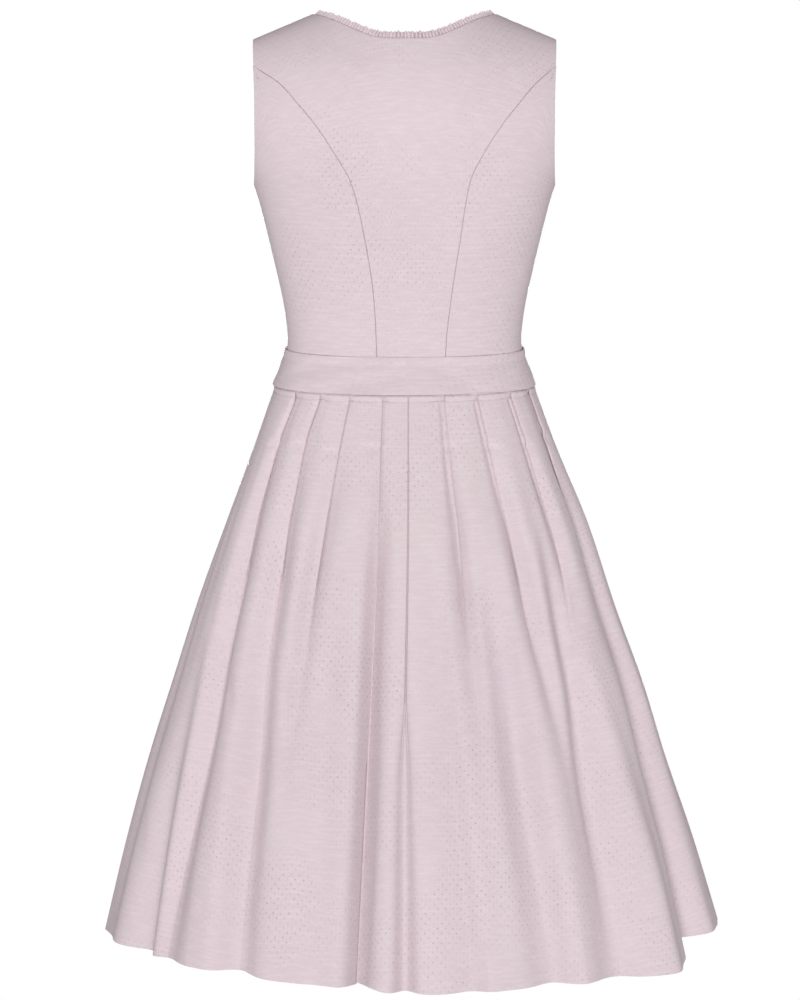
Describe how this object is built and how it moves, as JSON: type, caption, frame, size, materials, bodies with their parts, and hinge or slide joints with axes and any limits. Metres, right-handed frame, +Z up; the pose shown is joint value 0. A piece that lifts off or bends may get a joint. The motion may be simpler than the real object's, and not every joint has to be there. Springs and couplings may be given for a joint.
{
  "type": "dirndl dress",
  "caption": "Sleeveless dirndl with a princess-seamed bodice, frilled round neckline, pleated skirt and a half apron tied in a bow.",
  "frame": {"origin": "between the two shoulder points at shoulder-tip height, where the wearer's shoulders carry the dress", "axes": "+Z up, -Y the way the wearer faces (the back of the dress is at +Y), +X the wearer's left"},
  "size_m": [0.6832, 0.602, 1.0076],
  "materials": {
    "dress_cloth": "pale rose-lavender tone-on-tone jacquard, faint sheen",
    "apron_cloth": "the same jacquard as the dress, faint sheen",
    "button": "domed, dyed to match the cloth, satin"
  },
  "bodies": {
    "root": {"back_center": "dress_cloth", "back_side_left": "dress_cloth", "back_side_right": "dress_cloth", "front_center_left": "dress_cloth", "front_center_right": "dress_cloth", "front_side_left": "dress_cloth", "front_side_right": "dress_cloth", "neck_frill": "dress_cloth", "skirt_back": "dress_cloth", "skirt_front": "dress_cloth", "apron_band": "apron_cloth", "apron_panel": "apron_cloth", "bow_knot": "apron_cloth", "bow_loop_left": "apron_cloth", "bow_loop_right": "apron_cloth", "bow_tail_left": "apron_cloth", "bow_tail_right": "apron_cloth", "button_1": "button", "button_2": "button", "button_3": "button", "button_4": "button", "button_5": "button", "button_6": "button"}
  },
  "joints": []
}
